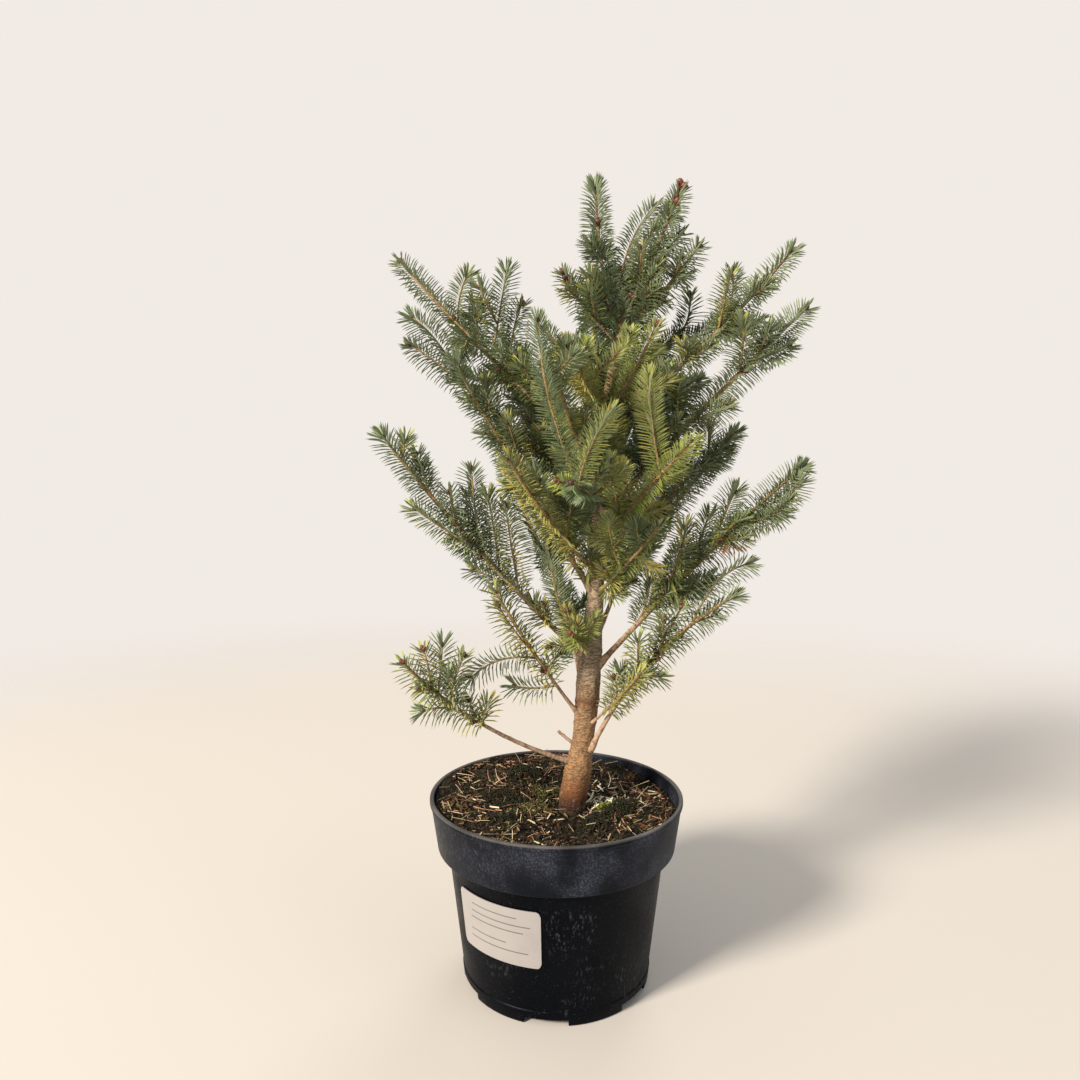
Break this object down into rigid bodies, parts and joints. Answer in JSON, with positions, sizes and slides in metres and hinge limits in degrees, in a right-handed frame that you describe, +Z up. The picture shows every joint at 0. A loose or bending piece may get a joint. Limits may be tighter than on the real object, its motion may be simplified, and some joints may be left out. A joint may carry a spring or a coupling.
{
  "type": "potted korean fir",
  "caption": "Young korean fir with a leaning trunk and upswept boughs of short needles, growing in a round black nursery pot of mulched soil.",
  "frame": {"origin": "centre of the pot's flat underside, on the ground", "axes": "+Z up along the plant's height, +X to the plant's right, -Y its front"},
  "size_m": [0.2797, 0.2283, 0.512],
  "materials": {
    "pot": "black moulded plastic, scuffed and dusty, with a worn lip",
    "soil": "damp peat and bark mulch with straw and moss",
    "label": "blank white paper sticker",
    "bark": "tan bark, greyer above, with rings of scars",
    "foliage": "short flat needles, dark green above and silvery green below",
    "foliage_young": "sunlit yellow-green needles",
    "foliage_shaded": "dark blue-green needles"
  },
  "bodies": {
    "root": {"pot": "pot", "soil": "soil", "label": "label", "trunk": "bark", "dead_stub": "bark", "bough_lowest_left": "bark", "bough_lowest_right": "bark", "bough_second_left": "bark", "bough_second_right": "bark", "bough_second_back": "bark", "bough_long_left": "bark", "bough_long_right": "bark", "bough_front_cluster": "bark", "bough_back_right": "bark", "bough_back_left": "bark", "bough_middle_left": "bark", "bough_front_left": "bark", "bough_front_right": "bark", "bough_middle_right": "bark", "bough_middle_back": "bark", "bough_front_point": "bark", "foliage_lowest_left": "foliage", "foliage_lowest_right": "foliage", "foliage_second_left": "foliage", "foliage_second_right": "foliage_young", "foliage_second_back": "foliage_shaded", "foliage_long_left": "foliage", "foliage_long_right": "foliage", "foliage_front_cluster": "foliage_young", "foliage_back_right": "foliage_shaded", "foliage_back_left": "foliage_shaded", "foliage_middle_left": "foliage", "foliage_front_left": "foliage", "foliage_front_right": "foliage", "foliage_middle_right": "foliage", "foliage_middle_back": "foliage_shaded", "foliage_right_long": "foliage", "foliage_front_diagonal": "foliage_young", "foliage_upper_left": "foliage", "foliage_front_rise": "foliage", "foliage_front_point": "foliage_young", "foliage_front_short": "foliage_young", "foliage_upper_back_right": "foliage_shaded", "foliage_upper_back_left": "foliage_shaded", "foliage_top_left": "foliage", "foliage_high_right": "foliage", "foliage_high_front_right": "foliage_young", "foliage_high_front_left": "foliage_young", "foliage_high_left": "foliage", "foliage_high_back": "foliage_shaded", "foliage_dark_right": "foliage_shaded", "foliage_dark_middle": "foliage_shaded", "foliage_crown_left": "foliage", "foliage_crown_right": "foliage", "foliage_crown_back": "foliage_shaded", "foliage_left_leader": "foliage", "foliage_between_leaders": "foliage", "foliage_right_leader": "foliage"}
  },
  "joints": []
}
